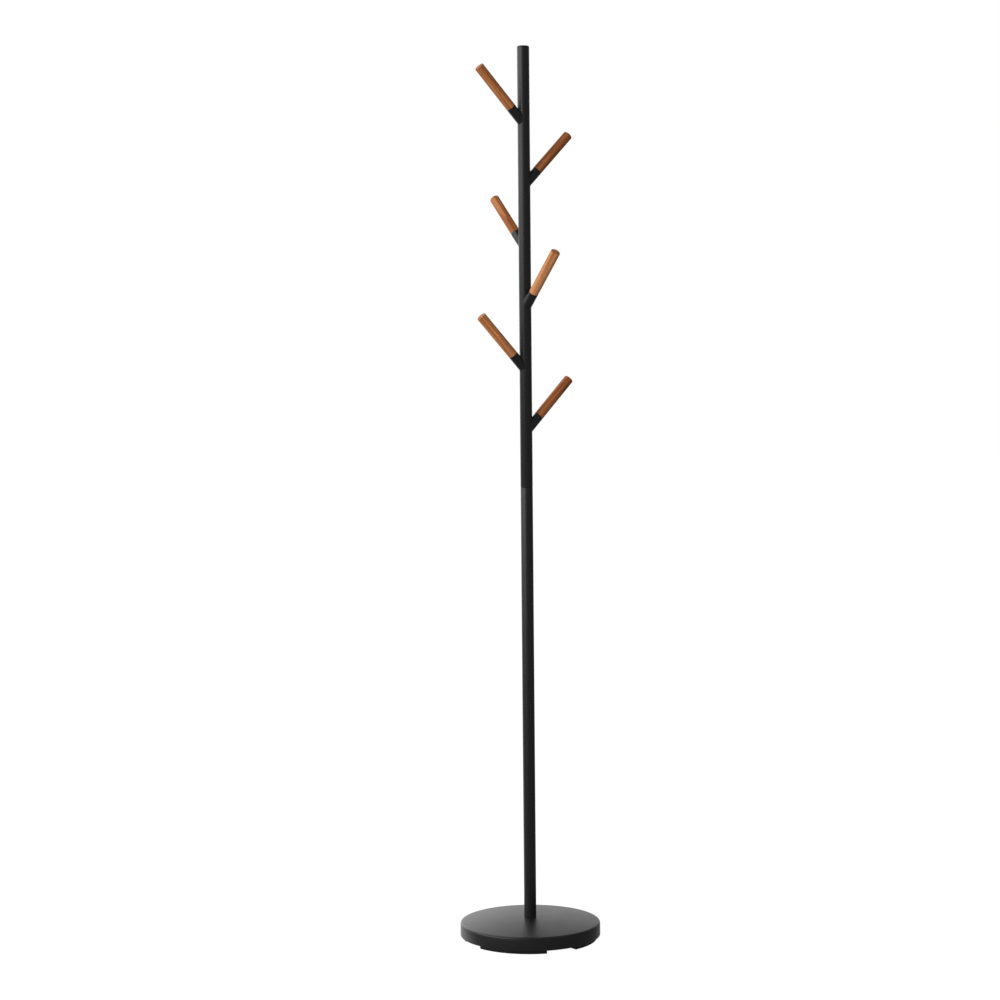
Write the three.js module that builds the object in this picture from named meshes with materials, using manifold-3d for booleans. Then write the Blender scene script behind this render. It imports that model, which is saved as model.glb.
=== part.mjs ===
// Standing coat rack: a round weighted base, a two-piece steel pole and six slanted arms.
// Every arm is a steel socket welded to the pole with a round wooden peg screwed into it.
// Millimetres, +Z up. The origin is the centre of the base on the floor, and -Y is the front.

import * as THREE from 'three';
import { mergeVertices } from 'three/addons/utils/BufferGeometryUtils.js';
import Module from 'manifold-3d';

const wasm = await Module();
wasm.setup();

// ---- Driving dimensions ------------------------------------------------------------------

const GAP = 0.3;                      // clearance between pieces that touch

const RACK_HEIGHT = 1750;
const POLE = { radius: 12, wall: 1.2, jointZ: 890, sides: 32 };

const FOOT_HEIGHT = 7.3;
const BASE = { radius: 138, crown: 42.3, domeRadius: 1000, sheet: 1.5, edgeRadius: 4, sides: 72 };

const ARM = { radius: 9.5, tilt: THREE.MathUtils.degToRad(43.6), tip: 142.9, socketEnd: 41.3 };
const ARM_PITCH = 120;                // height from one arm to the next
const LOWEST_ARM_Z = 1000;
const ARM_AZIMUTHS = [210, 28, 127, 307, 210, 30];   // degrees from +X, highest arm first

const FOOT = { outer: 131.5, inner: 117.5, arc: 62, bevel: 0.7, firstAzimuth: -107, count: 4 };

// ---- Hardware inside the base and the pole -----------------------------------------------

const HEAD_SIDES = 6;
const ROD_SIDES = 16;
const BASE_BOLT = { radius: 4, headRadius: 7.5, headHeight: 5.3, headZ: 9, tipZ: 64.5 };
const BOLT_HOLE = BASE_BOLT.radius + GAP;
const WASHER = { outer: 20, thickness: 2 };
const SPRING_WASHER = { outer: 7.4, thickness: 2, splitAngle: 0.16 };
const RECESS = { radius: 24, mouthRadius: 26 };
const ACCESS_HOLE_RADIUS = 22;
const FOOT_INSERT_LENGTH = 25;
const JOINER = { radius: 5, length: 40, insertLength: 24 };
const PEG_STUD = { radius: 3, start: 32, woodDepth: 27, pointLength: 5 };
const PEG_NUT_LENGTH = 9.5;

// ---- Materials ---------------------------------------------------------------------------

const finishes = {
  blackCoat: { color: 0x1d1d1f, roughness: 0.5, metalness: 0.25 },
  wood: { color: 0x8f5230, roughness: 0.55, metalness: 0 },
  rubber: { color: 0x151515, roughness: 0.85, metalness: 0 },
  cement: { color: 0x8b8984, roughness: 0.95, metalness: 0 },
  zinc: { color: 0xb4b7ba, roughness: 0.35, metalness: 0.9 },
};

function addPart(parent, name, geometry, finish) {
  const mesh = new THREE.Mesh(geometry, new THREE.MeshStandardMaterial(finish));
  mesh.name = name;
  parent.add(mesh);
  return mesh;
}

// ---- Shape helpers -----------------------------------------------------------------------

// Turns a profile of [radius, height] pairs about Z. It runs counter-clockwise, and starts
// and ends on the axis or comes back to its first point.
function turned(profile, sides) {
  const points = profile.map(([radius, height]) => new THREE.Vector2(radius, height));
  return new THREE.LatheGeometry(points, sides).rotateX(Math.PI / 2);
}

// A ring of rectangular section between two radii and two heights.
function ring(inner, outer, bottom, top, sides) {
  return turned([[inner, bottom], [outer, bottom], [outer, top], [inner, top], [inner, bottom]], sides);
}

// Points of an arc in the [radius, height] plane, from one angle in degrees to another.
function corner(centreRadius, centreHeight, radius, from, to, steps) {
  return Array.from({ length: steps + 1 }, (_, i) => {
    const angle = THREE.MathUtils.degToRad(from + ((to - from) * i) / steps);
    return [centreRadius + radius * Math.cos(angle), centreHeight + radius * Math.sin(angle)];
  });
}

// An annular sector between two radii, in the XY plane and centred on +X.
function sectorShape(inner, outer, angle) {
  const shape = new THREE.Shape();
  shape.absarc(0, 0, outer, -angle / 2, angle / 2, false);
  shape.absarc(0, 0, inner, angle / 2, -angle / 2, true);
  shape.closePath();
  return shape;
}

function toSolid(geometry) {
  const bare = geometry.clone();
  bare.deleteAttribute('normal');
  bare.deleteAttribute('uv');
  const merged = mergeVertices(bare, 1e-4);
  return new wasm.Manifold(new wasm.Mesh({
    numProp: 3,
    vertProperties: new Float32Array(merged.attributes.position.array),
    triVerts: new Uint32Array(merged.index.array),
  }));
}

function toGeometry(solid) {
  const mesh = solid.getMesh();
  const geometry = new THREE.BufferGeometry();
  geometry.setAttribute('position', new THREE.BufferAttribute(mesh.vertProperties, 3));
  geometry.setIndex(new THREE.BufferAttribute(mesh.triVerts, 1));
  geometry.computeVertexNormals();
  return geometry;
}

// ---- Base --------------------------------------------------------------------------------

// The base's top is part of a large sphere, and it runs into the rounded edge with no crease.
const DOME_Z = BASE.crown - BASE.domeRadius;           // the sphere's centre
const EDGE_R = BASE.radius - BASE.edgeRadius;
const EDGE_SLOPE = Math.asin(EDGE_R / (BASE.domeRadius - BASE.edgeRadius));
const EDGE_Z = DOME_Z + (BASE.domeRadius - BASE.edgeRadius) * Math.cos(EDGE_SLOPE);
const INNER_WALL = BASE.radius - BASE.sheet;           // inside of the cover's rim

// Dome and rounded edge from the bolt hole outwards, at a depth below the outside face.
function domeProfile(depth) {
  const radius = BASE.domeRadius - depth;
  const start = 90 - THREE.MathUtils.radToDeg(Math.asin(BOLT_HOLE / radius));
  const shoulder = 90 - THREE.MathUtils.radToDeg(EDGE_SLOPE);
  return [
    ...corner(0, DOME_Z, radius, start, shoulder, 6),
    ...corner(EDGE_R, EDGE_Z, BASE.edgeRadius - depth, shoulder, 0, 5).slice(1),
  ];
}

// A pressed steel cover: a low dome, a rounded edge and a straight rim, open underneath.
function coverGeometry() {
  const inside = domeProfile(BASE.sheet);
  return turned([
    ...inside,
    [INNER_WALL, FOOT_HEIGHT],
    [BASE.radius, FOOT_HEIGHT],
    ...domeProfile(0).reverse(),
    inside[0],
  ], BASE.sides);
}

const PLATE_TOP = FOOT_HEIGHT + BASE.sheet;

// A steel plate that closes the base from below, with a hole to reach the bolt.
function underplateGeometry() {
  return ring(ACCESS_HOLE_RADIUS, INNER_WALL - GAP, FOOT_HEIGHT, PLATE_TOP, BASE.sides);
}

const SPRING_Z = BASE_BOLT.headZ + BASE_BOLT.headHeight + GAP;
const WASHER_Z = SPRING_Z + SPRING_WASHER.thickness + GAP;
const RECESS_TOP = WASHER_Z + WASHER.thickness + GAP;

// The cast slab that fills the cover, with a recess for the bolt's head and washers.
function weightGeometry() {
  return turned([
    [BOLT_HOLE, RECESS_TOP],
    [RECESS.radius, RECESS_TOP],
    [RECESS.mouthRadius, PLATE_TOP + GAP],
    [INNER_WALL - GAP, PLATE_TOP + GAP],
    ...domeProfile(BASE.sheet + GAP).reverse(),
    [BOLT_HOLE, RECESS_TOP],
  ], BASE.sides);
}

// A foot: a curved rubber pad under the rim, with its edges eased.
function footGeometry() {
  const arc = THREE.MathUtils.degToRad(FOOT.arc);
  return new THREE.ExtrudeGeometry(sectorShape(FOOT.inner, FOOT.outer, arc), {
    depth: FOOT_HEIGHT - GAP - 2 * FOOT.bevel,
    curveSegments: 12,
    bevelThickness: FOOT.bevel,
    bevelSize: FOOT.bevel,
    bevelOffset: -FOOT.bevel,
    bevelSegments: 1,
  }).translate(0, 0, FOOT.bevel);
}

// A hexagon-head bolt that comes up through the base into the pole's foot.
function baseBoltGeometry() {
  const { radius, headRadius, headHeight, headZ, tipZ } = BASE_BOLT;
  const head = new THREE.CylinderGeometry(headRadius, headRadius, headHeight, HEAD_SIDES)
    .rotateX(Math.PI / 2).translate(0, 0, headZ + headHeight / 2);
  const chamfer = 1;
  const shank = turned([
    [0, headZ + chamfer],
    [radius, headZ + chamfer],
    [radius, tipZ - chamfer],
    [radius - chamfer, tipZ],
    [0, tipZ],
  ], ROD_SIDES);
  return toGeometry(toSolid(head).add(toSolid(shank)));
}

// A split lock washer, cut through at one place.
function springWasherGeometry() {
  const angle = 2 * Math.PI - SPRING_WASHER.splitAngle;
  return new THREE.ExtrudeGeometry(sectorShape(BOLT_HOLE, SPRING_WASHER.outer, angle), {
    depth: SPRING_WASHER.thickness,
    curveSegments: 24,
    bevelEnabled: false,
  }).translate(0, 0, SPRING_Z);
}

function buildBase(rack) {
  addPart(rack, 'base_cover', coverGeometry(), finishes.blackCoat);
  addPart(rack, 'base_weight', weightGeometry(), finishes.cement);
  addPart(rack, 'base_underplate', underplateGeometry(), finishes.blackCoat);
  for (let i = 0; i < FOOT.count; i += 1) {
    const foot = addPart(rack, `foot_pad_${i + 1}`, footGeometry(), finishes.rubber);
    foot.rotation.z = THREE.MathUtils.degToRad(FOOT.firstAzimuth + (360 / FOOT.count) * i);
  }
  addPart(rack, 'base_bolt', baseBoltGeometry(), finishes.zinc);
  addPart(rack, 'base_spring_washer', springWasherGeometry(), finishes.zinc);
  addPart(rack, 'base_plate_washer',
    ring(BOLT_HOLE, WASHER.outer, WASHER_Z, WASHER_Z + WASHER.thickness, 32), finishes.zinc);
}

// ---- Pole --------------------------------------------------------------------------------

const POLE_FOOT = BASE.crown + GAP;
const POLE_BORE = POLE.radius - POLE.wall;
const INSERT_RADIUS = POLE_BORE - GAP;
const CAP = { flange: 2.2, edgeRadius: 1.2, spigot: 14, wall: 1.5 };

function poleTube(bottom, top) {
  return ring(POLE_BORE, POLE.radius, bottom, top, POLE.sides);
}

// A threaded plug welded into a tube's end. The bore clears the screw that goes into it.
function insert(screwRadius, bottom, top) {
  return ring(screwRadius + GAP, INSERT_RADIUS, bottom, top, 24);
}

// A stud without a head, with both ends chamfered.
function studGeometry(radius, bottom, top) {
  const chamfer = 0.8;
  return turned([
    [0, bottom],
    [radius - chamfer, bottom],
    [radius, bottom + chamfer],
    [radius, top - chamfer],
    [radius - chamfer, top],
    [0, top],
  ], ROD_SIDES);
}

// The cap on the pole's top: a flat disc with a rounded edge, on a hollow spigot.
function capGeometry() {
  const flangeZ = RACK_HEIGHT - CAP.flange;
  const { edgeRadius } = CAP;
  return turned([
    [0, flangeZ],
    [INSERT_RADIUS - CAP.wall, flangeZ],
    [INSERT_RADIUS - CAP.wall, flangeZ - CAP.spigot],
    [INSERT_RADIUS, flangeZ - CAP.spigot],
    [INSERT_RADIUS, flangeZ],
    [POLE.radius, flangeZ],
    ...corner(POLE.radius - edgeRadius, RACK_HEIGHT - edgeRadius, edgeRadius, 0, 90, 3),
    [0, RACK_HEIGHT],
  ], POLE.sides);
}

function buildPole(rack) {
  const lowerTop = POLE.jointZ - GAP / 2;
  const upperFoot = POLE.jointZ + GAP / 2;
  const upperTop = RACK_HEIGHT - CAP.flange - GAP;
  addPart(rack, 'lower_pole', poleTube(POLE_FOOT, lowerTop), finishes.blackCoat);
  addPart(rack, 'upper_pole', poleTube(upperFoot, upperTop), finishes.blackCoat);
  addPart(rack, 'top_cap', capGeometry(), finishes.blackCoat);
  addPart(rack, 'pole_foot_insert',
    insert(BASE_BOLT.radius, POLE_FOOT, POLE_FOOT + FOOT_INSERT_LENGTH), finishes.zinc);
  addPart(rack, 'joint_insert_lower',
    insert(JOINER.radius, lowerTop - JOINER.insertLength, lowerTop), finishes.zinc);
  addPart(rack, 'joint_insert_upper',
    insert(JOINER.radius, upperFoot, upperFoot + JOINER.insertLength), finishes.zinc);
  addPart(rack, 'joint_stud',
    studGeometry(JOINER.radius, POLE.jointZ - JOINER.length / 2, POLE.jointZ + JOINER.length / 2),
    finishes.zinc);
}

// ---- Arms --------------------------------------------------------------------------------
// An arm's own frame has its origin on the pole's axis and +Z along the arm.

const SOCKET = { wall: 1.5, sides: 28 };
const SOCKET_TOP = ARM.socketEnd - GAP / 2;
const PEG_FOOT = ARM.socketEnd + GAP / 2;
const PEG_RADIUS = ARM.radius - 0.1;
const PEG_TIP_RADIUS = 1.2;
const STUD_HOLE = PEG_STUD.radius + GAP;

// A short tube, cut at one end to the round of the pole that it is welded to.
function socketGeometry() {
  const tube = ring(ARM.radius - SOCKET.wall, ARM.radius, 0, SOCKET_TOP, SOCKET.sides);
  const reach = 4 * POLE.radius;
  const pole = new THREE.CylinderGeometry(POLE.radius + GAP, POLE.radius + GAP, 2 * reach, 48)
    .rotateX(Math.PI / 2).rotateY(-ARM.tilt);
  return toGeometry(toSolid(tube).subtract(toSolid(pole)));
}

// A round peg with an eased tip and a blind hole for its stud.
function pegGeometry() {
  const holeEnd = PEG_FOOT + PEG_STUD.woodDepth + 1;
  return turned([
    [0, holeEnd],
    [STUD_HOLE, holeEnd],
    [STUD_HOLE, PEG_FOOT],
    [PEG_RADIUS, PEG_FOOT],
    ...corner(PEG_RADIUS - PEG_TIP_RADIUS, ARM.tip - PEG_TIP_RADIUS, PEG_TIP_RADIUS, 0, 90, 3),
    [0, ARM.tip],
  ], SOCKET.sides);
}

// A screw with no head: machine thread in the socket's nut, pointed wood thread in the peg.
function pegStudGeometry() {
  const { radius, start, woodDepth, pointLength } = PEG_STUD;
  const end = PEG_FOOT + woodDepth;
  return turned([
    [0, start],
    [radius, start],
    [radius, end - pointLength],
    [radius / 4, end],
    [0, end],
  ], ROD_SIDES);
}

function pegNutGeometry() {
  return ring(STUD_HOLE, ARM.radius - SOCKET.wall - GAP, SOCKET_TOP - PEG_NUT_LENGTH, SOCKET_TOP, 20);
}

function buildArm(rack, number, azimuth, height) {
  const turn = new THREE.Group();
  turn.position.z = height;
  turn.rotation.z = THREE.MathUtils.degToRad(azimuth);
  const arm = new THREE.Group();
  arm.rotation.y = ARM.tilt;
  turn.add(arm);
  rack.add(turn);
  addPart(arm, `socket_${number}`, socketGeometry(), finishes.blackCoat);
  addPart(arm, `peg_nut_${number}`, pegNutGeometry(), finishes.zinc);
  addPart(arm, `peg_stud_${number}`, pegStudGeometry(), finishes.zinc);
  addPart(arm, `peg_${number}`, pegGeometry(), finishes.wood);
}

// ---- Assembly ----------------------------------------------------------------------------

const group = new THREE.Group();
buildBase(group);
buildPole(group);
ARM_AZIMUTHS.forEach((azimuth, i) => {
  const height = LOWEST_ARM_Z + ARM_PITCH * (ARM_AZIMUTHS.length - 1 - i);
  buildArm(group, i + 1, azimuth, height);
});

export default group;
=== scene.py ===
"""Standing coat rack: a round weighted base, a steel pole and six arms with wooden pegs.

Every piece is built in metres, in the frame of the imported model, around the nodes that it
stands for. The rack has no joints, so every piece rides on the one body, the root.
"""

import logging
import math
from collections.abc import Callable, Iterable, Sequence
from dataclasses import dataclass, field
from enum import Enum

import bmesh
import bpy
import numpy as np
from bmesh.types import BMEdge, BMesh, BMVert
from bpy.types import Material, Node, NodeSocket, NodeTree, Object
from mathutils import Matrix, Vector


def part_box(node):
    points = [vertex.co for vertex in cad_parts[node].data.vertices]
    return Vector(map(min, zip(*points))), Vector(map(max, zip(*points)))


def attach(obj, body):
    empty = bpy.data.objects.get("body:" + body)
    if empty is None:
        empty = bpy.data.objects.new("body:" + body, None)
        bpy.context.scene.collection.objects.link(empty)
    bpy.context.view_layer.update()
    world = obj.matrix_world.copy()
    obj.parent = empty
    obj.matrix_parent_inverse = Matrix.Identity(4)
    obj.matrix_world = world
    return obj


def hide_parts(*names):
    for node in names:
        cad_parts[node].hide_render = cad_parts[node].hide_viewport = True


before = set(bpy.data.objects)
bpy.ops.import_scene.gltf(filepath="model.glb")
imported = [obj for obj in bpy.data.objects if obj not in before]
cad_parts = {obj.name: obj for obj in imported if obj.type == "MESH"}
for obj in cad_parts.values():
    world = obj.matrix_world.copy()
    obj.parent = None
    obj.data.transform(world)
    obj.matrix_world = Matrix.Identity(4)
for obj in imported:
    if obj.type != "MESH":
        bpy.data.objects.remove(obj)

LOG = logging.getLogger("coat_rack")
MM = 0.001
FULL_TURN = 2 * math.pi
GAP = 0.3 * MM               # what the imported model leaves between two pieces
HAIRLINE = 0.05 * MM         # what is left of it where two pieces meet in sight
OVERLAP = 0.5 * MM           # how far joined shapes run into each other
THREAD_DEPTH = 0.61          # depth of a machine thread, as a share of its pitch
ROWS_PER_PITCH = 5           # rows of places along each turn of a thread
CUT_CORNER = 0.3             # where an easing's middle facet lies, as a share of its radius
SAME_PLACE = 1e-6            # places that are closer than this are one
GROWN_IN = "grown_in"        # attribute: a place inside the log that a peg was turned from
TONE_AND_LIGHT = "tone_and_light"                # attribute: how pale a peg is painted, from 0 to 1, for its wood's own tone and for painted light and shade
MOST_NOISE = (0.3, 0.7)      # the range that nearly all of a noise lies in
WHITE = (1.0, 1.0, 1.0, 1.0)

Point = tuple[float, float]
Triple = tuple[float, float, float]


class Slot(Enum):
    """The record's material slots."""

    COAT = "black_coat"
    WOOD = "peg_wood"
    RUBBER = "foot_rubber"
    CEMENT = "cement"
    ZINC = "zinc_steel"


# ---- Reading the frame ----


def corners(node: str) -> np.ndarray:
    """The separate vertex places of a CAD node.

    Args:
        node: name of the node.

    Returns:
        One row of x, y, z in metres for each place.
    """
    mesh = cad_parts[node].data
    places = np.empty(len(mesh.vertices) * 3)
    mesh.vertices.foreach_get("co", places)
    return np.unique(places.reshape(-1, 3).round(7), axis=0)


def radii(node: str) -> tuple[float, float]:
    """The least and greatest distance of a node's vertices from the pole's axis.

    Args:
        node: name of the node.

    Returns:
        The inner and the outer radius, in metres.
    """
    places = corners(node)
    reach = np.hypot(places[:, 0], places[:, 1])
    return float(reach.min()), float(reach.max())


@dataclass(frozen=True)
class ArmFrame:
    """An arm's own frame: it starts on the pole's axis, and its +Z runs along the arm.

    Its +X points up towards the pole, so it marks the crotch between arm and pole.
    """

    start: Vector
    along: Vector

    @classmethod
    def of_peg(cls, node: str) -> "ArmFrame":
        """The frame of the arm whose peg is the named node.

        Args:
            node: name of a round node that lies along the arm.

        Returns:
            The arm's frame.
        """
        places = corners(node)
        middle = places.mean(axis=0)
        spread = np.linalg.eigh(np.cov((places - middle).T))[1]
        along = Vector(spread[:, -1])
        if along.z < 0:
            along = -along
        centre = Vector(middle)
        travelled = centre.xy.length / along.xy.length
        return cls(centre - along * travelled, along)

    @property
    def tilt(self) -> float:
        """The angle between the arm and the pole."""
        return self.along.angle(Vector((0, 0, 1)))

    @property
    def matrix(self) -> Matrix:
        """The transform from the arm's own frame to the rack's."""
        up = Vector((0, 0, 1))
        crotch = (up - self.along * self.along.z).normalized()
        axes = Matrix((crotch, self.along.cross(crotch), self.along)).transposed()
        return Matrix.Translation(self.start) @ axes.to_4x4()

    def measure(self, node: str) -> tuple[float, float, float, float]:
        """A round node's extent in this frame.

        Args:
            node: name of a node that lies along the arm.

        Returns:
            Its start and end along the arm, and its least and greatest radius.
        """
        into = self.matrix.inverted()
        local = np.array([into @ Vector(p) for p in corners(node)])
        reach = np.hypot(local[:, 0], local[:, 1])
        return (float(local[:, 2].min()), float(local[:, 2].max()),
                float(reach.min()), float(reach.max()))


# ---- Mesh making ----


def spun(profile: Sequence[Point], steps: int, closed: bool = True) -> BMesh:
    """Turns a profile about Z into a closed solid.

    Args:
        profile: points of (radius, height).
        steps: number of steps in the full turn.
        closed: True for a ring, whose last point joins its first; False for a solid whose
            profile starts and ends on the axis.

    Returns:
        The turned mesh, facing outwards.
    """
    mesh = bmesh.new()
    points = [mesh.verts.new((radius, 0, height)) for radius, height in profile]
    following = points[1:] + points[:1] if closed else points[1:]
    sides = [mesh.edges.new(pair) for pair in zip(points, following)]
    bmesh.ops.spin(mesh, geom=points + sides, cent=(0, 0, 0), axis=(0, 0, 1),
                   angle=FULL_TURN, steps=steps, use_merge=True)
    bmesh.ops.remove_doubles(mesh, verts=mesh.verts, dist=1e-7)
    bmesh.ops.recalc_face_normals(mesh, faces=mesh.faces)
    return mesh


def circle_at(mesh: BMesh, radius: float, height: float) -> list[BMEdge]:
    """The edges of the turned circle at one radius and height.

    Args:
        mesh: the turned mesh.
        radius: the circle's radius.
        height: the circle's height.

    Returns:
        Its edges.
    """
    def on_circle(vertex: BMVert) -> bool:
        """True if the vertex lies on the circle."""
        return (abs(vertex.co.xy.length - radius) < SAME_PLACE
                and abs(vertex.co.z - height) < SAME_PLACE)
    return [e for e in mesh.edges if on_circle(e.verts[0]) and on_circle(e.verts[1])]


def rounded(mesh: BMesh, edges: Iterable[BMEdge], radius: float,
            segments: int = 4) -> None:
    """Rounds edges over.

    Args:
        mesh: the mesh that the edges are in.
        edges: the edges to round.
        radius: how far the rounding reaches from the edge.
        segments: number of facets across the rounding.
    """
    bmesh.ops.bevel(mesh, geom=list(edges), offset=radius, offset_type="OFFSET",
                    segments=segments, profile=0.5, affect="EDGES", material=-1,
                    clamp_overlap=True)


def tube(inner: float, outer: float, bottom: float, top: float, steps: int,
         easing: float) -> BMesh:
    """A round tube with its four end edges eased.

    Args:
        inner: radius of the bore.
        outer: outside radius.
        bottom: height of the lower end.
        top: height of the upper end.
        steps: number of steps in the turn.
        easing: radius of the eased edges.

    Returns:
        The tube.
    """
    mesh = spun([(inner, bottom), (outer, bottom), (outer, top), (inner, top)], steps)
    for radius in (inner, outer):
        for height in (bottom, top):
            rounded(mesh, circle_at(mesh, radius, height), easing, 3)
    return mesh


def stacked(rows: Sequence[Sequence[Vector]], closed: bool) -> BMesh:
    """Extrudes a ring through rows of places, and then joins or fills its two ends.

    Args:
        rows: the places of each ring in turn, all with the same number of places.
        closed: True to join the last ring to the first, False to fill both ends.

    Returns:
        The closed mesh.
    """
    mesh = bmesh.new()
    ring = bmesh.ops.create_circle(mesh, segments=len(rows[0]), radius=1)["verts"]
    rim = list(mesh.edges)
    first = rim
    for vertex, place in zip(ring, rows[0]):
        vertex.co = place
    for places in rows[1:]:
        grown = bmesh.ops.extrude_edge_only(mesh, edges=rim)["geom"]
        rim = [g for g in grown if isinstance(g, BMEdge)]
        ring = [g for g in grown if isinstance(g, BMVert)]
        for vertex, place in zip(ring, places):
            vertex.co = place
    if closed:
        bmesh.ops.bridge_loops(mesh, edges=first + rim)
    else:
        bmesh.ops.holes_fill(mesh, edges=first + rim, sides=0)
    bmesh.ops.recalc_face_normals(mesh, faces=mesh.faces)
    return mesh


def rod(bottom: float, top: float, pitch: float, steps: int,
        radius_at: Callable[[float, float], float]) -> BMesh:
    """A threaded rod, stood on Z and filled at both ends.

    Args:
        bottom: height of the lower end.
        top: height of the upper end.
        pitch: the finest thread's pitch, which sets how closely the rows lie.
        steps: number of places round the rod.
        radius_at: gives the radius at a height and at a share of a turn.

    Returns:
        The rod.
    """
    count = max(2, round((top - bottom) / pitch * ROWS_PER_PITCH))
    rows = []
    for row in range(count + 1):
        height = bottom + (top - bottom) * row / count
        places = []
        for step in range(steps):
            share = step / steps
            reach = radius_at(height, share)
            angle = share * FULL_TURN
            places.append(Vector((reach * math.cos(angle), reach * math.sin(angle), height)))
        rows.append(places)
    return stacked(rows, closed=False)


def thread_cut(height: float, share: float, pitch: float,
               depth: float = THREAD_DEPTH) -> float:
    """How far a screw thread is cut in, from 0 on its crest to its depth at its root.

    Args:
        height: height along the screw.
        share: share of a turn.
        pitch: the thread's pitch.
        depth: the thread's full depth, as a share of its pitch.

    Returns:
        The cut.
    """
    place = (height / pitch - share) % 1.0
    return depth * pitch * (1.0 - abs(2.0 * place - 1.0))


def joined(mesh: BMesh, other: BMesh) -> None:
    """Adds a second mesh to a first one, and frees the second.

    Args:
        mesh: the mesh that grows.
        other: the mesh that is added.
    """
    carrier = bpy.data.meshes.new("carrier")
    other.to_mesh(carrier)
    other.free()
    mesh.from_mesh(carrier)
    bpy.data.meshes.remove(carrier)


def finished(mesh: BMesh, name: str, material: Material,
             nodes: Sequence[str], sharp: float = 32.0) -> Object:
    """Makes a piece out of a mesh: shades it, dresses it and sets it on the frame.

    Args:
        mesh: the mesh, in the rack's frame.
        name: the piece's name.
        material: its finish.
        nodes: the CAD nodes that the piece stands for.
        sharp: angle in degrees above which an edge is shaded as sharp.

    Returns:
        The piece.
    """
    data = bpy.data.meshes.new(name)
    mesh.to_mesh(data)
    mesh.free()
    data.shade_smooth()
    data.set_sharp_from_angle(angle=math.radians(sharp))
    data.materials.append(material)
    piece = bpy.data.objects.new(name, data)
    bpy.context.scene.collection.objects.link(piece)
    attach(piece, "root")
    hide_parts(*nodes)
    LOG.info("%s: %d faces, for %s", name, len(data.polygons), ", ".join(nodes))
    return piece


def ringed(node: str, name: str, material: Material, steps: int, easing: float,
           bottom: float | None = None, top: float | None = None) -> None:
    """Makes a piece that is a plain upright tube, as large as its CAD node.

    Args:
        node: the CAD tube.
        name: the piece's name.
        material: its finish.
        steps: number of steps in the turn.
        easing: radius of the eased edges.
        bottom: a new height for its lower end, where it meets its neighbour.
        top: a new height for its upper end.
    """
    low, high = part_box(node)
    mesh = tube(*radii(node), low.z if bottom is None else bottom,
                high.z if top is None else top, steps, easing)
    finished(mesh, name, material, [node])


def dressed(node: str, material: Material) -> None:
    """Gives a CAD node that stays its finish.

    Args:
        node: name of the node.
        material: its finish.
    """
    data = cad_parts[node].data
    data.materials.clear()
    data.materials.append(material)
    LOG.info("%s: kept, in %s", node, material.name)


# ---- Finishes ----


@dataclass(frozen=True)
class Grain:
    """A noise in a finish, and the relief that it gives.

    Its share is its width as a share of its length along Z. With pits, the surface is
    level but for holes where the noise lies high in that range.
    """

    per_metre: float
    detail: float = 2.0
    roughness: float = 0.5
    distortion: float = 0.0
    share: float = 1.0
    depth: float = 0.0
    pits: Point | None = None


class Nodes:
    """A node tree, with short ways to add nodes to it."""

    def __init__(self, tree: NodeTree) -> None:
        """Takes the tree to add to.

        Args:
            tree: a material's or the world's node tree.
        """
        self.tree = tree

    def add(self, kind: str) -> Node:
        """Adds a node of a kind, such as "Math"."""
        return self.tree.nodes.new(f"ShaderNode{kind}")

    def feed(self, socket: NodeSocket, value: object) -> None:
        """Sets an input to a value, or links it to an output.

        Args:
            socket: the input.
            value: a value or an output socket.
        """
        if isinstance(value, NodeSocket):
            self.tree.links.new(value, socket)
        else:
            socket.default_value = value

    def put(self, node: Node, **inputs: object) -> None:
        """Sets or links a node's inputs by name, with underscores for spaces.

        Args:
            node: the node.
            inputs: a value or an output socket for each input.
        """
        for name, value in inputs.items():
            self.feed(node.inputs[name.replace("_", " ")], value)

    def between(self, value: NodeSocket, span: Point, result: Point = (0.0, 1.0),
                kind: str = "LINEAR") -> NodeSocket:
        """Stretches the values between two limits to a new range, and clips the rest.

        Args:
            value: the value to stretch.
            span: the limits.
            result: what they become.
            kind: "LINEAR", or "SMOOTHSTEP" for soft ends.

        Returns:
            The new value.
        """
        node = self.add("MapRange")
        node.interpolation_type = kind
        self.put(node, Value=value, From_Min=span[0], From_Max=span[1], To_Min=result[0],
                 To_Max=result[1])
        return node.outputs["Result"]

    def maths(self, operation: str, *parts: object) -> NodeSocket:
        """The sum, product or difference of several numbers and sockets, taken in turn.

        Args:
            operation: the Math node's operation.
            parts: the numbers and sockets, at least two.

        Returns:
            The result.
        """
        result = parts[0]
        for part in parts[1:]:
            node = self.add("Math")
            node.operation = operation
            self.feed(node.inputs[0], result)
            self.feed(node.inputs[1], part)
            result = node.outputs["Value"]
        return result


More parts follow.
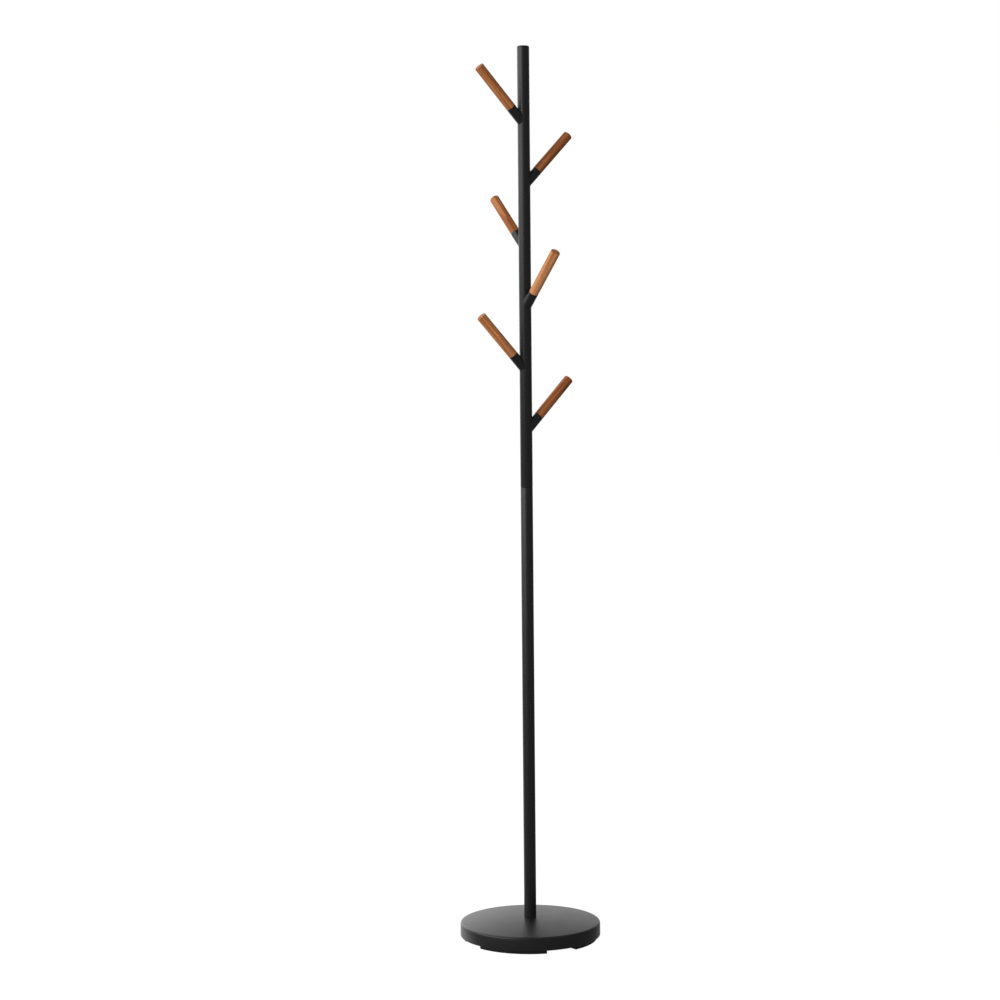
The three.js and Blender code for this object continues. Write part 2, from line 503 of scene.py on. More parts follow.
class Graph(Nodes):
    """A material's node tree, which starts with a Principled surface."""

    def __init__(self, name: str) -> None:
        """Starts a material.

        Args:
            name: the material's name.
        """
        self.material = bpy.data.materials.new(name)
        self.material.use_nodes = True
        super().__init__(self.material.node_tree)
        self.surface = self.tree.nodes["Principled BSDF"]

    def place(self) -> NodeSocket:
        """The place of a point on the piece, in metres."""
        return self.add("TexCoord").outputs["Object"]

    def attribute(self, name: str, output: str = "Vector") -> NodeSocket:
        """What an attribute of the mesh holds.

        Args:
            name: the attribute's name.
            output: "Vector", or "Fac" for a number.
        """
        node = self.add("Attribute")
        node.attribute_name = name
        return node.outputs[output]

    def noise(self, place: NodeSocket, grain: Grain) -> NodeSocket:
        """The noise of a grain, from 0 to 1.

        Args:
            place: where it is read.
            grain: the grain.

        Returns:
            The noise.
        """
        if grain.share != 1.0:
            node = self.add("Mapping")
            self.put(node, Vector=place, Scale=(1.0, 1.0, grain.share))
            place = node.outputs["Vector"]
        node = self.add("TexNoise")
        self.put(node, Vector=place, Scale=grain.per_metre, Detail=grain.detail,
                 Roughness=grain.roughness, Distortion=grain.distortion)
        return node.outputs["Fac"]

    def blended(self, share: NodeSocket, first: object, second: object) -> NodeSocket:
        """Mixes two colours.

        Args:
            share: how much of the second colour there is.
            first: a colour or a socket.
            second: a colour or a socket.

        Returns:
            The mixed colour.
        """
        node = self.add("Mix")
        node.data_type = "RGBA"
        self.put(node, Factor=share)
        for name, value in (("A", first), ("B", second)):
            socket = next(s for s in node.inputs if s.name == name and s.type == "RGBA")
            self.feed(socket, (*value, 1.0) if isinstance(value, tuple) else value)
        return next(s for s in node.outputs if s.type == "RGBA")

    def bumped(self, height: NodeSocket, depth: float,
               under: NodeSocket | None) -> NodeSocket:
        """Relief on the surface.

        Args:
            height: the relief, from 0 to 1.
            depth: how deep it is, in metres.
            under: relief that this one lies on, if there is any.

        Returns:
            The bent normal.
        """
        node = self.add("Bump")
        self.put(node, Height=height, Distance=depth, Strength=1.0)
        if under is not None:
            self.put(node, Normal=under)
        return node.outputs["Normal"]


@dataclass(frozen=True)
class Speckled:
    """A finish that varies in colour and sheen, over fine relief."""

    name: str
    colours: tuple[Triple, Triple]
    tint: Grain
    sheen: Grain
    roughness: Point
    relief: tuple[Grain, ...]
    ior: float = 1.5
    metallic: float = 0.0

    def material(self) -> Material:
        """Builds the material."""
        graph = Graph(self.name)
        place = graph.place()
        normal = None
        for grain in self.relief:
            height = graph.noise(place, grain)
            if grain.pits is not None:
                height = graph.maths("SUBTRACT", 1.0, graph.between(height, grain.pits))
            normal = graph.bumped(height, grain.depth, normal)
        graph.put(
            graph.surface,
            Base_Color=graph.blended(graph.noise(place, self.tint), *self.colours),
            Metallic=self.metallic,
            Roughness=graph.between(graph.noise(place, self.sheen), MOST_NOISE,
                                    self.roughness),
            IOR=self.ior,
            Normal=normal,
        )
        return graph.material


GRIT = Grain(2600.0, 2.0, 0.6, depth=0.0016 * MM)
BLOOM = Grain(90.0, 3.0)
SPANGLE = Grain(700.0, 3.0, 0.6, depth=0.015 * MM)
SAND = Grain(1100.0, 4.0, 0.7, depth=0.12 * MM)

# Baked black powder: a fine orange-peel skin with a low, wide sheen.
POWDER_COAT = Speckled(
    "black_powder_coat", ((0.0050, 0.0050, 0.0052), (0.0085, 0.0085, 0.0088)), tint=GRIT,
    sheen=Grain(28.0, 3.0), roughness=(0.345, 0.375),
    relief=(Grain(700.0, 1.5, depth=0.0045 * MM), GRIT), ior=1.48)

# Moulded black rubber with a dull, faintly pitted skin.
FOOT_RUBBER = Speckled(
    "foot_rubber", ((0.0045, 0.0045, 0.0045), (0.0120, 0.0118, 0.0115)), tint=BLOOM,
    sheen=BLOOM, roughness=(0.72, 0.86), relief=(Grain(1900.0, 3.0, 0.6, depth=0.05 * MM),),
    ior=1.4)

# Zinc-plated steel, finely spangled and lightly brushed by the tumbler.
ZINC_PLATE = Speckled(
    "zinc_plate", ((0.60, 0.61, 0.63), (0.40, 0.41, 0.42)), tint=Grain(120.0, 3.0),
    sheen=SPANGLE, roughness=(0.26, 0.44), relief=(SPANGLE,), metallic=1.0)

# Poured cement mortar: sandy, with pin holes left by air.
CAST_CEMENT = Speckled(
    "cast_cement", ((0.34, 0.33, 0.31), (0.20, 0.19, 0.175)), tint=SAND, sheen=SAND,
    roughness=(0.86, 0.97),
    relief=(SAND, Grain(330.0, 1.0, depth=0.4 * MM, pits=(0.66, 0.72))))


@dataclass(frozen=True)
class StainedWood:
    """Reddish-brown stained hardwood under a thin satin oil, with open pores."""

    late: Triple = (0.115, 0.029, 0.0062)
    early: Triple = (0.306, 0.096, 0.0245)
    streak: Triple = (0.515, 0.205, 0.0680)
    # Pale colour: partly lighter wood, partly painted light on the pegs that face the light.
    pale_and_lit: Triple = (0.500, 0.240, 0.1000)
    pore: Triple = (0.060, 0.016, 0.0045)
    ior: float = 1.33
    roughness: Point = (0.52, 0.64)
    fibres: Grain = Grain(1200.0, 3.0, 0.65, share=0.022, depth=0.012 * MM)
    streaks: Grain = Grain(250.0, 3.0, 0.6, 0.3, share=0.022)
    drift: Grain = Grain(38.0, share=0.25)
    dashes: Grain = Grain(2600.0, 0.0, share=0.04, depth=0.05 * MM, pits=(0.67, 0.76))

    def rings(self, graph: Graph, grown: NodeSocket) -> NodeSocket:
        """The growth rings, from 0 in early wood to 1 in late wood.

        Args:
            graph: the wood's node tree.
            grown: the place inside the log.

        Returns:
            The rings.
        """
        along = graph.add("Mapping")
        graph.put(along, Vector=grown, Scale=(1.0, 1.0, 0.12))
        node = graph.add("TexWave")
        node.wave_type = "RINGS"
        node.rings_direction = "Z"
        node.wave_profile = "SAW"
        graph.put(node, Vector=along.outputs["Vector"], Scale=26.0, Distortion=1.6,
                  Detail=2.0, Detail_Scale=1.4)
        return node.outputs["Fac"]

    def material(self) -> Material:
        """Builds the material: rings, then streaks, fibres, the peg's tone with its painted
        light and shade, and pores.
        """
        graph = Graph("stained_wood")
        grown = graph.attribute(GROWN_IN)
        fibres, streaks, drift, dashes = (
            graph.noise(grown, grain)
            for grain in (self.fibres, self.streaks, self.drift, self.dashes))
        pores = graph.between(dashes, self.dashes.pits)
        # The peg's tone is partly the wood's own and partly painted light and shade: lit pegs
        # are painted paler, shaded ones darker.
        tone_and_light = graph.maths("ADD", graph.attribute(TONE_AND_LIGHT, "Fac"),
                           graph.between(drift, MOST_NOISE, (-0.1, 0.1)))
        wood = self.early
        for pattern, span, shares, colour in (
                (self.rings(graph, grown), (0.15, 0.95), (0.0, 0.75), self.late),
                (streaks, (0.45, 0.61), (0.0, 0.90), self.streak),
                (fibres, (0.48, 0.72), (0.0, 0.50), self.late),
                (tone_and_light, (0.0, 0.5), (0.55, 0.0), self.late),
                (tone_and_light, (0.5, 1.0), (0.0, 0.75), self.pale_and_lit),
                (pores, (0.0, 1.0), (0.0, 0.45), self.pore)):
            wood = graph.blended(graph.between(pattern, span, shares), wood, colour)
        graph.put(
            graph.surface,
            Base_Color=wood,
            Roughness=graph.between(streaks, MOST_NOISE, self.roughness),
            IOR=self.ior,
            Normal=graph.bumped(graph.maths("SUBTRACT", 1.0, pores), self.dashes.depth,
                                graph.bumped(fibres, self.fibres.depth, None)),
        )
        return graph.material


@dataclass
class Finishes:
    """The rack's finishes, each built once."""

    coat: Material = field(default_factory=POWDER_COAT.material)
    wood: Material = field(default_factory=StainedWood().material)
    rubber: Material = field(default_factory=FOOT_RUBBER.material)
    zinc: Material = field(default_factory=ZINC_PLATE.material)
    cement: Material = field(default_factory=CAST_CEMENT.material)


# ---- Base ----


@dataclass
class Base:
    """The round base: a pressed cover over a cement slab, a plate below it and four feet."""

    finishes: Finishes
    sheet: float = 1.5 * MM
    edge_radius: float = 4.0 * MM
    hem_radius: float = 0.5 * MM
    dome_radius: float = 1000 * MM
    dome_steps: int = 24
    edge_steps: int = 10
    turn_steps: int = 192
    foot_steps: int = 48
    washer_steps: int = 96
    bolt_steps: int = 32
    bead_places: tuple[float, float] = (58 * MM, 100 * MM)
    bead_width: float = 7 * MM
    bead_depth: float = 1.1 * MM
    bead_steps: int = 8
    groove_width: float = 1.6 * MM
    groove_depth: float = 0.9 * MM
    groove_places: Point = (0.25, 0.75)
    groove_floor: float = 0.6
    foot_easing: float = 0.7 * MM
    washer_easing: float = 0.25 * MM
    bolt_pitch: float = 1.25 * MM
    bolt_chamfer: float = 1.2 * MM
    head_easing: float = 0.9 * MM
    hem_facets: int = 3

    def build(self) -> None:
        """Builds every piece of the base."""
        self.build_cover()
        self.build_underplate()
        for number in range(1, 5):
            self.build_foot(f"foot_pad_{number}")
        dressed("base_weight", self.finishes.cement)
        self.build_bolt()
        ringed("base_plate_washer", "base_wide_washer", self.finishes.zinc,
               self.washer_steps, self.washer_easing)
        dressed("base_spring_washer", self.finishes.zinc)

    def dome(self, outer: float, crown: float, hole: float, depth: float) -> list[Point]:
        """Profile of the domed top and its rounded edge, from the bolt hole out to the rim.

        Args:
            outer: the cover's outside radius.
            crown: height of the dome's highest point.
            hole: radius of the bolt hole.
            depth: how far the profile lies below the outside face.

        Returns:
            Points of (radius, height).
        """
        edge = outer - self.edge_radius
        reach = self.dome_radius - self.edge_radius
        slope = math.asin(edge / reach)
        centre = crown - self.dome_radius
        ball = self.dome_radius - depth
        start = math.asin(hole / ball)
        leans = [start + (slope - start) * k / self.dome_steps
                 for k in range(self.dome_steps + 1)]
        over = [slope + (math.pi / 2 - slope) * k / self.edge_steps
                for k in range(1, self.edge_steps + 1)]
        turn, edge_height = self.edge_radius - depth, centre + reach * math.cos(slope)
        return ([(ball * math.sin(lean), centre + ball * math.cos(lean)) for lean in leans]
                + [(edge + turn * math.sin(lean), edge_height + turn * math.cos(lean))
                   for lean in over])

    def build_cover(self) -> None:
        """Builds the pressed cover: a low dome, a rounded edge and a straight rim."""
        low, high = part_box("base_cover")
        hole, _ = radii("base_cover")
        outer = high.x
        inner = outer - self.sheet
        mesh = spun([*self.dome(outer, high.z, hole, self.sheet), (inner, low.z),
                     (outer, low.z), *reversed(self.dome(outer, high.z, hole, 0.0))],
                    self.turn_steps)
        for radius in (inner, outer):
            rounded(mesh, circle_at(mesh, radius, low.z), self.hem_radius, self.hem_facets)
        finished(mesh, "base_shell", self.finishes.coat, ["base_cover"])

    def bead(self, middle: float, level: float) -> list[Point]:
        """Profile of a pressed stiffening bead that stands down from a plate.

        Args:
            middle: radius of the bead's middle.
            level: height of the plate's face.

        Returns:
            Points of (radius, height), from the inside out.
        """
        half = self.bead_width / 2
        shares = [step / self.bead_steps for step in range(self.bead_steps + 1)]
        return [(middle + half * (2 * share - 1),
                 level - self.bead_depth * math.sin(math.pi * share) ** 2) for share in shares]

    def build_underplate(self) -> None:
        """Builds the closing plate, with two pressed beads and a lipped hole."""
        low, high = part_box("base_underplate")
        hole, outer = radii("base_underplate")
        below = [p for place in self.bead_places for p in self.bead(place, low.z)]
        above = [p for place in reversed(self.bead_places)
                 for p in reversed(self.bead(place, high.z))]
        mesh = spun([(hole, low.z), *below, (outer, low.z), (outer, high.z), *above,
                     (hole, high.z)], self.turn_steps)
        for radius in (hole, outer):
            rounded(mesh, circle_at(mesh, radius, low.z), self.hem_radius, self.hem_facets)
        finished(mesh, "base_closing_plate", self.finishes.coat,
                 ["base_underplate"])

    def build_foot(self, node: str) -> None:
        """Builds one curved foot, with two grip grooves along its underside.

        Args:
            node: name of the CAD foot.
        """
        places = corners(node)
        low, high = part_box(node)
        middle = places.mean(axis=0)
        azimuth = math.atan2(middle[1], middle[0])
        turned = np.arctan2(places[:, 1], places[:, 0]) - azimuth
        half_arc = float(np.abs((turned + math.pi) % FULL_TURN - math.pi).max())
        inner, outer = radii(node)
        section = self.foot_section(inner, outer, low.z, high.z)
        mesh = bmesh.new()
        points = [mesh.verts.new((radius, 0, height)) for radius, height in section]
        face = mesh.faces.new(points)
        bmesh.ops.rotate(mesh, verts=points, cent=(0, 0, 0),
                         matrix=Matrix.Rotation(azimuth - half_arc, 3, "Z"))
        bmesh.ops.spin(mesh, geom=[face, *face.edges, *points], cent=(0, 0, 0),
                       axis=(0, 0, 1), angle=2 * half_arc, steps=self.foot_steps)
        bmesh.ops.recalc_face_normals(mesh, faces=mesh.faces)
        ends = [f for f in mesh.faces if len(f.verts) == len(section)]
        rims = {e for f in ends for e in f.edges}
        rounded(mesh, rims, self.foot_easing, self.hem_facets)
        finished(mesh, node.replace("_pad_", "_moulding_"), self.finishes.rubber,
                 [node])

    def foot_section(self, inner: float, outer: float, bottom: float,
                     top: float) -> list[Point]:
        """Section through a foot: eased corners and two grooves below.

        Args:
            inner: its inner radius.
            outer: its outer radius.
            bottom: height of its underside.
            top: height of its top.

        Returns:
            Points of (radius, height), in order round the section.
        """
        ease, half = self.foot_easing, self.groove_width / 2
        grooves: list[Point] = []
        for share in self.groove_places:
            middle = inner + (outer - inner) * share
            grooves += [(middle - half, bottom),
                        (middle - half * self.groove_floor, bottom + self.groove_depth),
                        (middle + half * self.groove_floor, bottom + self.groove_depth),
                        (middle + half, bottom)]
        soft = ease * CUT_CORNER
        return [(inner + ease, bottom), *grooves, (outer - ease, bottom),
                (outer - soft, bottom + soft), (outer, bottom + ease),
                (outer, top - soft), (outer - soft, top), (inner + soft, top),
                (inner, top - soft), (inner, bottom + ease), (inner + soft, bottom + soft)]

    def build_bolt(self) -> None:
        """Builds the hexagon-head bolt, with a rolled thread on its shank."""
        low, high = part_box("base_bolt")
        across_corners = (high.y - low.y) / 2
        head_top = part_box("base_spring_washer")[0].z - GAP
        shank = radii("pole_foot_insert")[0] - GAP

        def radius_at(height: float, share: float) -> float:
            """Radius of the threaded shank at a height and a share of a turn."""
            thread = shank - thread_cut(height, share, self.bolt_pitch)
            return min(thread, shank - self.bolt_chamfer + (high.z - height))

        mesh = rod(head_top - OVERLAP, high.z, self.bolt_pitch, self.bolt_steps, radius_at)
        head = bmesh.new()
        bmesh.ops.create_cone(head, cap_ends=True, segments=6, radius1=across_corners,
                              radius2=across_corners, depth=head_top - low.z)
        bmesh.ops.rotate(head, verts=head.verts, cent=(0, 0, 0),
                         matrix=Matrix.Rotation(math.pi / 6, 3, "Z"))
        bmesh.ops.translate(head, verts=head.verts, vec=(0, 0, (low.z + head_top) / 2))
        rounded(head, [e for e in head.edges if all(v.co.z < low.z + 1e-5 for v in e.verts)],
                self.head_easing)
        joined(mesh, head)
        finished(mesh, "base_hexagon_bolt", self.finishes.zinc, ["base_bolt"])


# ---- Pole ----


@dataclass
class Pole:
    """The pole: two tubes joined by a stud, with a capped top."""

    finishes: Finishes
    steps: int = 128
    insert_steps: int = 64
    stud_steps: int = 32
    end_easing: float = 0.35 * MM
    cap_easing: float = 1.2 * MM
    cap_under_easing: float = 0.15 * MM
    cap_thickness: float = 2.2 * MM
    spigot_wall: float = 1.5 * MM
    insert_easing: float = 0.5 * MM
    stud_pitch: float = 1.5 * MM
    stud_chamfer: float = 1.2 * MM

    def build(self) -> None:
        """Builds every piece of the pole."""
        floor_of_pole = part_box("base_cover")[1].z
        cap_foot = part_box("top_cap")[1].z - self.cap_thickness
        coat, zinc = self.finishes.coat, self.finishes.zinc
        ringed("lower_pole", "lower_pole_tube", coat, self.steps, self.end_easing,
               bottom=floor_of_pole)
        ringed("upper_pole", "upper_pole_tube", coat, self.steps, self.end_easing,
               top=cap_foot - HAIRLINE)
        self.build_cap(cap_foot)
        for node in ("pole_foot_insert", "joint_insert_lower", "joint_insert_upper"):
            ringed(node, node.replace("insert", "plug"), zinc, self.insert_steps,
                   self.insert_easing)
        self.build_stud()

    def build_cap(self, flange: float) -> None:
        """Builds the cap, a flat disc on a hollow spigot.

        Args:
            flange: height of the disc's underside.
        """
        low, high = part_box("top_cap")
        spigot = radii("joint_insert_upper")[1]
        hollow = spigot - self.spigot_wall
        mesh = spun([(0, flange), (hollow, flange), (hollow, low.z), (spigot, low.z),
                     (spigot, flange), (high.x, flange), (high.x, high.z), (0, high.z)],
                    self.steps, closed=False)
        rounded(mesh, circle_at(mesh, high.x, high.z), self.cap_easing, 6)
        rounded(mesh, circle_at(mesh, high.x, flange), self.cap_under_easing, 2)
        finished(mesh, "pole_cap", self.finishes.coat, ["top_cap"])

    def build_stud(self) -> None:
        """Builds the stud that joins the two tubes."""
        low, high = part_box("joint_stud")
        shank = high.x

        def radius_at(height: float, share: float) -> float:
            """Radius of the stud at a height and a share of a turn."""
            thread = shank - thread_cut(height, share, self.stud_pitch)
            to_end = min(height - low.z, high.z - height)
            return min(thread, shank - self.stud_chamfer + to_end)

        mesh = rod(low.z, high.z, self.stud_pitch, self.stud_steps, radius_at)
        finished(mesh, "joint_threaded_stud", self.finishes.zinc, ["joint_stud"])


# ---- Arms ----


@dataclass
class Arm:
    """One arm: a socket welded to the pole, and the wooden peg that is screwed into it."""

    finishes: Finishes
    number: int
    socket_wall: float = 1.5 * MM
    crotch_fillet: float = 1.8 * MM
    under_fillet: float = 6.0 * MM
    mouth_easing: float = 0.35 * MM
    peg_foot_easing: float = 0.25 * MM
    tip_easing: float = 1.2 * MM
    turn_steps: int = 96
    weld_steps: int = 12
    nut_steps: int = 48
    stud_steps: int = 24
    weld_skirt: float = 0.35 * MM
    weld_proud: float = 0.008 * MM
    nut_easing: float = 0.4 * MM
    machine_pitch: float = 1.0 * MM
    wood_pitch: float = 2.2 * MM
    wood_thread_depth: float = 0.38
    stud_chamfer: float = 0.6 * MM
    stud_point: float = 5 * MM
    stud_end: float = 0.2
    hole_spare: float = 1.0 * MM
    log_start: Triple = (0.031, 0.0, 0.0)
    log_step: Triple = (0.013, 0.017, 0.21)
    log_turn: float = 1.9
    log_lean: float = math.radians(1.5)
    # How pale each peg is painted at its foot and its tip: partly its wood's own tone, partly
    # painted light and shade, palest on the fourth peg, which faces the light.
    tones_at_foot: tuple[float, ...] = (0.30, 0.03, 0.42, 1.0, 0.76, 0.18)
    tones_and_light_at_tip: tuple[float, ...] = (0.32, 0.0, 0.42, 0.60, 0.40, 0.28)

    def __post_init__(self) -> None:
        """Reads the arm's frame and the pole's radius."""
        self.frame = ArmFrame.of_peg(f"peg_{self.number}")
        self.pole = radii("upper_pole")[1]

    def build(self) -> None:
        """Builds every piece of the arm."""
        self.build_socket()
        self.build_peg()
        self.build_nut()
        self.build_stud()

    def set_out(self, mesh: BMesh, node: str, name: str, material: Material,
                sharp: float = 32.0) -> None:
        """Moves a mesh from the arm's frame to the rack's, and makes its piece.

        Args:
            mesh: the mesh, in the arm's own frame.
            node: the CAD node that the piece stands for.
            name: the piece's name, before its number.
            material: its finish.
            sharp: angle in degrees above which an edge is shaded as sharp.
        """
        bmesh.ops.transform(mesh, matrix=self.frame.matrix, verts=mesh.verts)
        finished(mesh, f"{name}_{self.number}", material, [node], sharp)

    def reach(self, across: float, aside: float, distance: float) -> float:
        """How far along the arm a line parallel to it leaves a cylinder round the pole.

        Args:
            across: the line's place along the arm frame's X.
            aside: the line's place along the arm frame's Y.
            distance: the cylinder's radius.

        Returns:
            The place along the arm frame's Z.
        """
        tilt = self.frame.tilt
        return (across * math.cos(tilt) + math.sqrt(distance ** 2 - aside ** 2)) / math.sin(tilt)

    def from_pole(self, place: Vector) -> Vector:
        """The unit vector from the pole's axis out to a place, in the arm's frame.

        Args:
            place: the place.

        Returns:
            The unit vector, square to the pole.
        """
        pole = Vector((math.sin(self.frame.tilt), 0, math.cos(self.frame.tilt)))
        return (place - pole * place.dot(pole)).normalized()

    def weld_section(self, angle: float, outer: float, inner: float,
                     mouth: float) -> list[Vector]:
        """One section of the socket, from its mouth down over the weld and back up its bore.

        The weld is the arc of a ball that rolls in the corner between socket and pole.

        Args:
            angle: where the section is round the arm, with 0 at the crotch.
            outer: the socket's outside radius.
            inner: its bore's radius.
            mouth: where its mouth is along the arm.

        Returns:
            The section's places, in the arm's frame.
        """
        way = Vector((math.cos(angle), math.sin(angle), 0))
        share = (1 - math.cos(angle)) / 2
        ball = self.crotch_fillet + (self.under_fillet - self.crotch_fillet) * share ** 2
        centre = way * (outer + ball)
        centre.z = self.reach(centre.x, centre.y, self.pole + ball)
        to_socket = -way
        to_pole = -self.from_pole(centre)
        weld = [centre + to_socket.slerp(to_pole, k / self.weld_steps) * ball
                for k in range(self.weld_steps + 1)]
        flow = (weld[-1] - weld[-2]).normalized()
        skirt = weld[-1] + flow * self.weld_skirt
        out = self.from_pole(skirt)
        on_pole = skirt - out * (skirt.dot(out) - self.pole - self.weld_proud)
        sunk = on_pole - out * OVERLAP
        bore = way * inner
        bore.z = self.reach(bore.x, bore.y, self.pole - OVERLAP)
        ease = self.mouth_easing
        lip = [way * (inner + ease) + Vector((0, 0, mouth)),
               way * (outer - ease) + Vector((0, 0, mouth)),
               way * (outer - ease * CUT_CORNER) + Vector((0, 0, mouth - ease * CUT_CORNER)),
               way * outer + Vector((0, 0, mouth - ease)),
               way * outer + Vector((0, 0, mouth - 2 * ease))]
        return [*lip, *weld, on_pole, sunk, bore, way * inner + Vector((0, 0, mouth - ease))]

    def build_socket(self) -> None:
        """Builds the socket and its weld as one closed tube."""
        node = f"socket_{self.number}"
        _, mouth, _, outer = self.frame.measure(node)
        inner = outer - self.socket_wall
        sections = [self.weld_section(FULL_TURN * k / self.turn_steps, outer, inner, mouth)
                    for k in range(self.turn_steps)]
        mesh = stacked(list(zip(*sections)), closed=True)
        self.set_out(mesh, node, "arm_socket", self.finishes.coat, sharp=42.0)

    def build_peg(self) -> None:
        """Builds the turned peg, bored for its stud."""
        node = f"peg_{self.number}"
        _, tip, _, radius = self.frame.measure(node)
        foot = self.frame.measure(f"socket_{self.number}")[1] + HAIRLINE
        _, hole_end, _, hole = self.frame.measure(f"peg_stud_{self.number}")
        hole += GAP
        hole_end += self.hole_spare
        mesh = spun([(0, hole_end), (hole, hole_end), (hole, foot), (radius, foot),
                     (radius, tip), (0, tip)], self.turn_steps, closed=False)
        rounded(mesh, circle_at(mesh, radius, tip), self.tip_easing, 6)
        rounded(mesh, circle_at(mesh, radius, foot), self.peg_foot_easing, 3)
        self.mark_wood(mesh, foot, tip)
        self.set_out(mesh, node, "arm_peg", self.finishes.wood)

    def mark_wood(self, mesh: BMesh, foot: float, tip: float) -> None:
        """Marks where in the log each point of the peg grew, and how pale it is painted there,
        for its wood's own tone and for painted light and shade.

        Args:
            mesh: the peg, in the arm's own frame.
            foot: where the peg starts along the arm.
            tip: where it ends.
        """
        tone_and_light = mesh.verts.layers.float.new(TONE_AND_LIGHT)
        grown = mesh.verts.layers.float_vector.new(GROWN_IN)
        into_log = (Matrix.Translation(Vector(self.log_start)
                                       + Vector(self.log_step) * self.number)
                    @ Matrix.Rotation(self.log_lean, 4, "X")
                    @ Matrix.Rotation(self.log_turn * self.number, 4, "Z"))
        at_foot = self.tones_at_foot[self.number - 1]
        at_tip = self.tones_and_light_at_tip[self.number - 1]
        for vertex in mesh.verts:
            share = (vertex.co.z - foot) / (tip - foot)
            vertex[grown] = into_log @ vertex.co
            vertex[tone_and_light] = at_foot + (at_tip - at_foot) * share

    def build_nut(self) -> None:
        """Builds the nut in the socket's mouth."""
        node = f"peg_nut_{self.number}"
        bottom, top, inner, outer = self.frame.measure(node)
        mesh = tube(inner, outer, bottom, top, self.nut_steps, self.nut_easing)
        self.set_out(mesh, node, "arm_nut", self.finishes.zinc)

    def build_stud(self) -> None:
        """Builds the stud: a fine thread in the nut and a coarse, pointed one in the wood."""
        node = f"peg_stud_{self.number}"
        bottom, top, _, shank = self.frame.measure(node)
        change = self.frame.measure(f"peg_nut_{self.number}")[1]

        def radius_at(height: float, share: float) -> float:
            """Radius of the stud at a height and a share of a turn."""
            if height < change:
                cut = thread_cut(height, share, self.machine_pitch)
                return min(shank - cut, shank - self.stud_chamfer + (height - bottom))
            cut = thread_cut(height, share, self.wood_pitch, self.wood_thread_depth)
            to_tip = (top - height) / self.stud_point
            return (shank - cut) * min(1.0, self.stud_end + (1.0 - self.stud_end) * to_tip)

        mesh = rod(bottom, top, self.machine_pitch, self.stud_steps, radius_at)
        self.set_out(mesh, node, "arm_stud", self.finishes.zinc)


# ---- Studio ----


@dataclass(frozen=True)
class Ramp:
    """A smooth change of a light's share along one axis of the direction it comes from."""

    axis: str
    span: Point
    shares: Point


@dataclass(frozen=True)
class Glow:
    """One part of the room's light, shaped by ramps."""

    name: str
    strength: float
    ramps: tuple[Ramp, ...]


@dataclass(frozen=True)
class Softbox:
    """A wide light that faces the pegs, too soft to leave a highlight."""

    name: str
    place: Triple
    watts: float


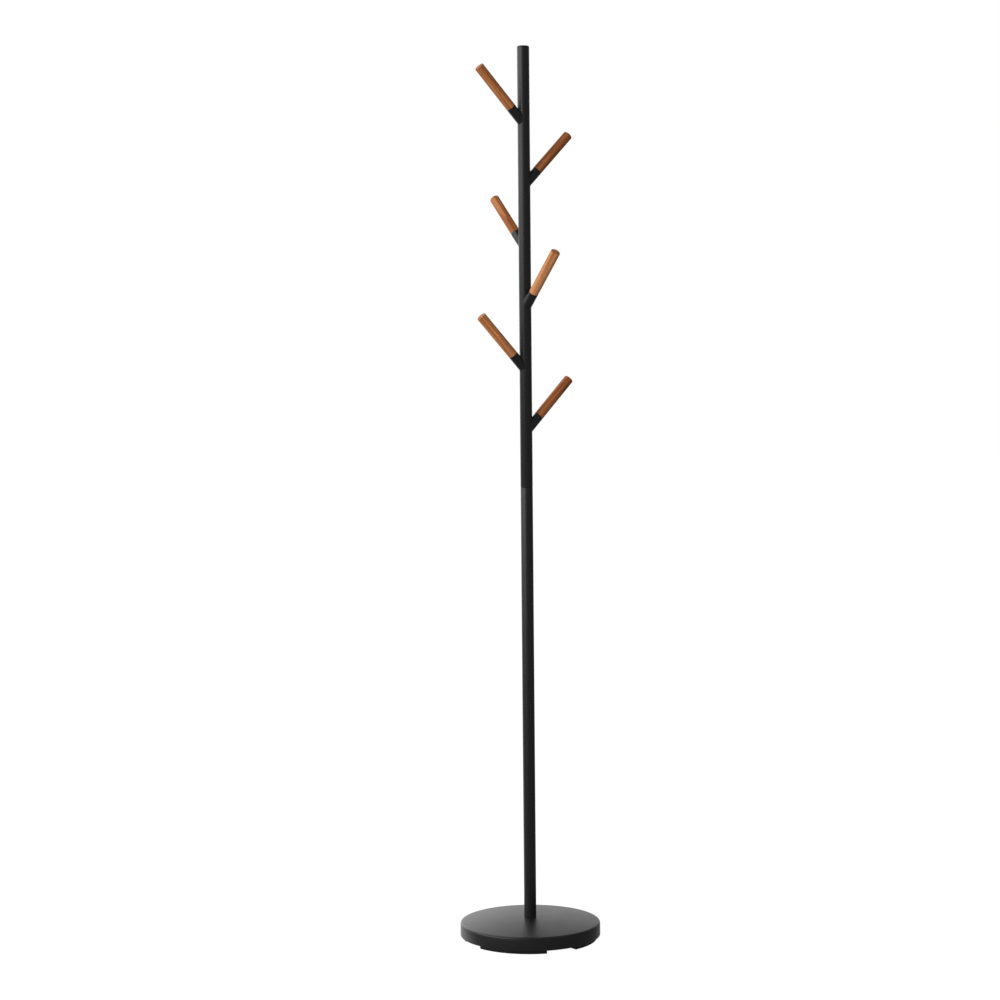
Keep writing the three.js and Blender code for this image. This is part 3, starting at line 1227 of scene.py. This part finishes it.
@dataclass
class Studio:
    """The camera, the pale floor and the soft light."""

    distance: float = 3.987
    height: float = 1.0058
    pitch: float = math.radians(2.009)
    yaw: float = math.radians(0.756)
    roll: float = math.radians(-0.506)
    lens: float = 73.14
    sensor: float = 36.0
    farthest: float = 200.0
    floor_size: float = 60.0
    glows: tuple[Glow, ...] = (
        Glow("bright wall on the left", 2.45, (
            Ramp("X", (-0.25, -0.60), (0.0, 1.0)), Ramp("Y", (-0.3, 0.9), (1.0, 0.1)),
            Ramp("Z", (-0.02, 0.18), (0.01, 1.0)), Ramp("Z", (0.5, 0.9), (1.0, 0.4)))),
        Glow("pale backdrop", 0.80, (
            Ramp("Y", (0.35, 0.9), (0.0, 1.0)), Ramp("X", (0.1, 0.75), (1.0, 0.08)),
            Ramp("X", (-0.14, -0.01), (2.2, 1.0)),
            Ramp("Z", (-0.1, 0.1), (0.50, 1.0)), Ramp("Z", (0.22, 0.5), (1.0, 0.40)))),
        Glow("high window behind, on the left", 2.0, (
            Ramp("X", (-0.14, -0.26), (0.0, 1.0)), Ramp("X", (-0.55, -0.40), (0.0, 1.0)),
            Ramp("Y", (0.5, 0.75), (0.0, 1.0)),
            Ramp("Z", (0.28, 0.42), (0.0, 1.0)), Ramp("Z", (0.58, 0.72), (1.0, 0.0)))),
        Glow("floor behind, on the left", 0.52, (
            Ramp("X", (-0.5, -0.8), (0.0, 1.0)), Ramp("Y", (0.1, 0.4), (0.0, 1.0)),
            Ramp("Z", (-0.15, -0.22), (0.0, 1.0)))),
        Glow("dim room and floor", 1.0, (Ramp("Z", (-0.10, 0.04), (0.16, 0.18)),)),
    )
    softboxes: tuple[Softbox, ...] = (Softbox("left softbox", (-2.0, -2.9, 1.5), 127.0),
                                      Softbox("right softbox", (2.7, -2.3, 1.1), 42.0))
    softbox_size: Point = (3.2, 3.0)
    pegs_height: float = 1.3
    floor_grey: float = 0.08
    shade_reach: Point = (0.15, 0.9)
    shade: Point = (0.97, 1.0)

    def build(self) -> None:
        """Sets the studio up."""
        self.build_camera()
        self.build_floor()
        self.build_world()
        for softbox in self.softboxes:
            self.build_softbox(softbox)
        bpy.context.scene.view_settings.view_transform = "Standard"

    def build_camera(self) -> None:
        """Makes the camera, in front of the rack at chest height."""
        data = bpy.data.cameras.new("camera")
        data.lens = self.lens
        data.sensor_width = self.sensor
        data.clip_end = self.farthest
        camera = bpy.data.objects.new("camera", data)
        turn = (Matrix.Rotation(self.yaw, 4, "Z")
                @ Matrix.Rotation(math.pi / 2 - self.pitch, 4, "X")
                @ Matrix.Rotation(self.roll, 4, "Z"))
        camera.matrix_world = Matrix.Translation((0, -self.distance, self.height)) @ turn
        bpy.context.scene.collection.objects.link(camera)
        bpy.context.scene.camera = camera

    def build_floor(self) -> None:
        """Lays a plain pale floor under the feet."""
        mesh = bmesh.new()
        bmesh.ops.create_grid(mesh, x_segments=1, y_segments=1, size=self.floor_size / 2)
        data = bpy.data.meshes.new("floor")
        mesh.to_mesh(data)
        mesh.free()
        graph = Graph("pale_floor")
        away = graph.add("VectorMath")
        away.operation = "LENGTH"
        graph.put(away, Vector=graph.place())
        glow = graph.between(away.outputs["Value"], self.shade_reach, self.shade)
        graph.put(graph.surface, Base_Color=(*[self.floor_grey] * 3, 1.0), Roughness=1.0,
                  IOR=1.0, Emission_Color=WHITE, Emission_Strength=glow)
        data.materials.append(graph.material)
        floor = bpy.data.objects.new("floor", data)
        floor.visible_diffuse = floor.visible_glossy = floor.visible_shadow = False
        bpy.context.scene.collection.objects.link(floor)

    def build_world(self) -> None:
        """Surrounds the rack with a white background and a soft, dim room."""
        world = bpy.data.worlds.new("studio")
        bpy.context.scene.world = world
        world.use_nodes = True
        nodes = Nodes(world.node_tree)
        nodes.tree.nodes.clear()
        split = nodes.add("SeparateXYZ")
        nodes.put(split, Vector=nodes.add("TexCoord").outputs["Generated"])
        room, backdrop = nodes.add("Background"), nodes.add("Background")
        nodes.put(room, Color=WHITE, Strength=nodes.maths(
            "ADD", *(self.glowing(nodes, split, glow) for glow in self.glows)))
        nodes.put(backdrop, Color=WHITE)
        mix, out = nodes.add("MixShader"), nodes.add("OutputWorld")
        nodes.put(mix, Fac=nodes.add("LightPath").outputs["Is Camera Ray"])
        nodes.feed(mix.inputs[1], room.outputs["Background"])
        nodes.feed(mix.inputs[2], backdrop.outputs["Background"])
        nodes.put(out, Surface=mix.outputs["Shader"])

    def glowing(self, nodes: Nodes, way: Node, glow: Glow) -> NodeSocket:
        """How strongly one glow shines from each direction.

        Args:
            nodes: the world's node tree.
            way: the node that splits the direction into its parts.
            glow: the glow.

        Returns:
            The strength.
        """
        return nodes.maths("MULTIPLY", glow.strength, *(
            nodes.between(way.outputs[ramp.axis], ramp.span, ramp.shares, "SMOOTHSTEP")
            for ramp in glow.ramps))

    def build_softbox(self, softbox: Softbox) -> None:
        """Hangs one softbox, turned to the pegs.

        Args:
            softbox: the softbox.
        """
        data = bpy.data.lights.new(softbox.name, "AREA")
        data.shape = "RECTANGLE"
        data.size, data.size_y = self.softbox_size
        data.energy = softbox.watts
        light = bpy.data.objects.new(softbox.name, data)
        place = Vector(softbox.place)
        ahead = Vector((0.0, 0.0, self.pegs_height)) - place
        turn = ahead.to_track_quat("-Z", "Y").to_matrix().to_4x4()
        light.matrix_world = Matrix.Translation(place) @ turn
        light.visible_glossy = False
        bpy.context.scene.collection.objects.link(light)


def main() -> None:
    """Builds the rack and its studio."""
    logging.basicConfig(level=logging.INFO, format="%(name)s: %(message)s")
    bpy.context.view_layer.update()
    finishes = Finishes()
    Base(finishes).build()
    Pole(finishes).build()
    for number in range(1, 7):
        Arm(finishes, number).build()
    Studio().build()


if __name__ == "__main__":
    main()
